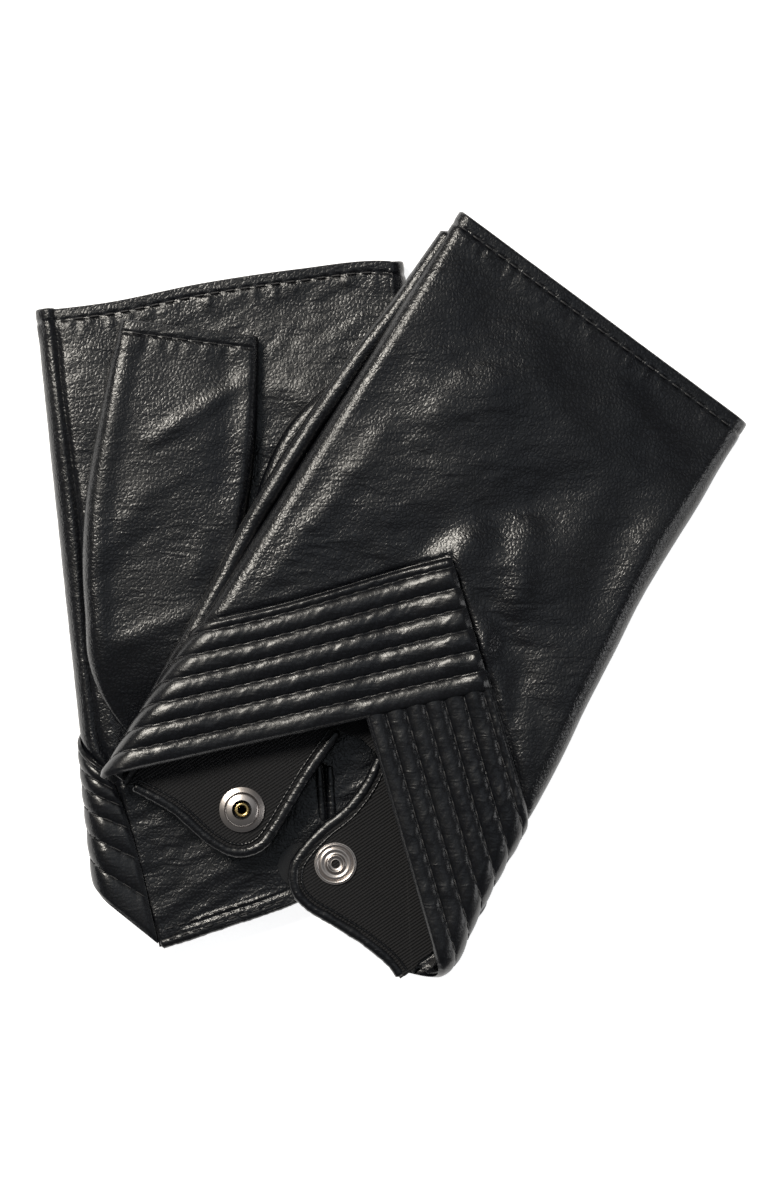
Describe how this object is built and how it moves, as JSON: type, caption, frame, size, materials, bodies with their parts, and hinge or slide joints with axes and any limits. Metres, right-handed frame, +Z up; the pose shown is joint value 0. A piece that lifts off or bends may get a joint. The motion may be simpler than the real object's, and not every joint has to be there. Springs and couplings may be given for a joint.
{
  "type": "pair of fingerless gloves",
  "caption": "Pair of leather fingerless gloves with quilted chevron cuffs, snap-fastened wrist flaps and folded thumb tubes, one lying across the other.",
  "frame": {"origin": "centre of the pair's footprint, on the surface it lies on", "axes": "+Z up from the surface, +Y along the pair's longer side towards the finger hems, +X towards the free side of the upper, right-hand glove"},
  "size_m": [0.1812, 0.1922, 0.025],
  "materials": {
    "leather": "fine pebbled, semi-gloss black",
    "leather_edge": "turned edge, semi-gloss black",
    "lining": "matte black knit",
    "padding": "soft wadding",
    "thread": "waxed black thread",
    "nickel": "satin nickel plate",
    "enamel": "black enamel",
    "brass": "bright rolled edge"
  },
  "bodies": {
    "left_glove": {"left_back_panel": "leather", "left_back_lining": "lining", "left_palm_panel": "leather", "left_palm_lining": "lining", "left_band_thumb_side": "leather", "left_band_pinky_side": "leather", "left_padding_thumb_side": "padding", "left_padding_pinky_side": "padding", "left_finger_hem": "leather_edge", "left_hem_stitches": "thread", "left_band_stitches_thumb_side": "thread", "left_band_stitches_pinky_side": "thread"},
    "left_socket_side_flap": {"left_socket_flap": "leather", "left_socket_flap_lining": "lining", "left_socket_flap_binding": "leather_edge", "left_socket_flap_stitches": "thread", "left_snap_cap": "enamel", "left_snap_rivet": "brass", "left_snap_socket": "nickel"},
    "left_stud_side_flap": {"left_stud_flap": "leather", "left_stud_flap_lining": "lining", "left_stud_flap_binding": "leather_edge", "left_stud_flap_stitches": "thread", "left_snap_post": "nickel", "left_snap_stud": "enamel"},
    "left_thumb_tube": {"left_thumb": "leather", "left_thumb_lining": "lining", "left_thumb_stitches": "thread"},
    "right_glove": {"right_back_panel": "leather", "right_back_lining": "lining", "right_palm_panel": "leather", "right_palm_lining": "lining", "right_band_thumb_side": "leather", "right_band_pinky_side": "leather", "right_padding_thumb_side": "padding", "right_padding_pinky_side": "padding", "right_finger_hem": "leather_edge", "right_hem_stitches": "thread", "right_band_stitches_thumb_side": "thread", "right_band_stitches_pinky_side": "thread"},
    "right_socket_side_flap": {"right_socket_flap": "leather", "right_socket_flap_lining": "lining", "right_socket_flap_binding": "leather_edge", "right_socket_flap_stitches": "thread", "right_snap_cap": "enamel", "right_snap_rivet": "brass", "right_snap_socket": "nickel"},
    "right_stud_side_flap": {"right_stud_flap": "leather", "right_stud_flap_lining": "lining", "right_stud_flap_binding": "leather_edge", "right_stud_flap_stitches": "thread", "right_snap_post": "nickel", "right_snap_stud": "enamel"},
    "right_thumb_tube": {"right_thumb": "leather", "right_thumb_lining": "lining", "right_thumb_stitches": "thread"}
  },
  "joints": [
    {"name": "right_glove_lift", "type": "slide", "parent": "left_glove", "child": "right_glove", "axis": [0, 0, 1], "range_m": [0, 0.12]},
    {"name": "right_socket_flap_fold", "type": "hinge", "parent": "right_glove", "child": "right_socket_side_flap", "pos_m": [-0.0637, -0.05119, 0.0168], "axis": [-0.9655, -0.2603, 0], "range_deg": [0, 75]},
    {"name": "right_stud_flap_fold", "type": "hinge", "parent": "right_glove", "child": "right_stud_side_flap", "pos_m": [0.00097, -0.09207, 0.0168], "axis": [-0.1391, 0.9903, 0], "range_deg": [0, 75]},
    {"name": "right_thumb_swing", "type": "hinge", "parent": "right_glove", "child": "right_thumb_tube", "pos_m": [-0.01737, 0.0118, 0.0125], "axis": [0, 0, 1], "range_deg": [-7, 0]},
    {"name": "left_socket_flap_fold", "type": "hinge", "parent": "left_glove", "child": "left_socket_side_flap", "pos_m": [-0.04719, -0.08853, 0.0082], "axis": [0.5964, 0.8027, 0], "range_deg": [0, 10]},
    {"name": "left_stud_flap_fold", "type": "hinge", "parent": "left_glove", "child": "left_stud_side_flap", "pos_m": [0.01616, -0.08187, 0.0082], "axis": [0.5296, -0.8482, 0], "range_deg": [0, 10]},
    {"name": "left_thumb_swing", "type": "hinge", "parent": "left_glove", "child": "left_thumb_tube", "pos_m": [-0.06079, -0.01656, 0.0125], "axis": [0, 0, 1], "range_deg": [0, 20]}
  ]
}
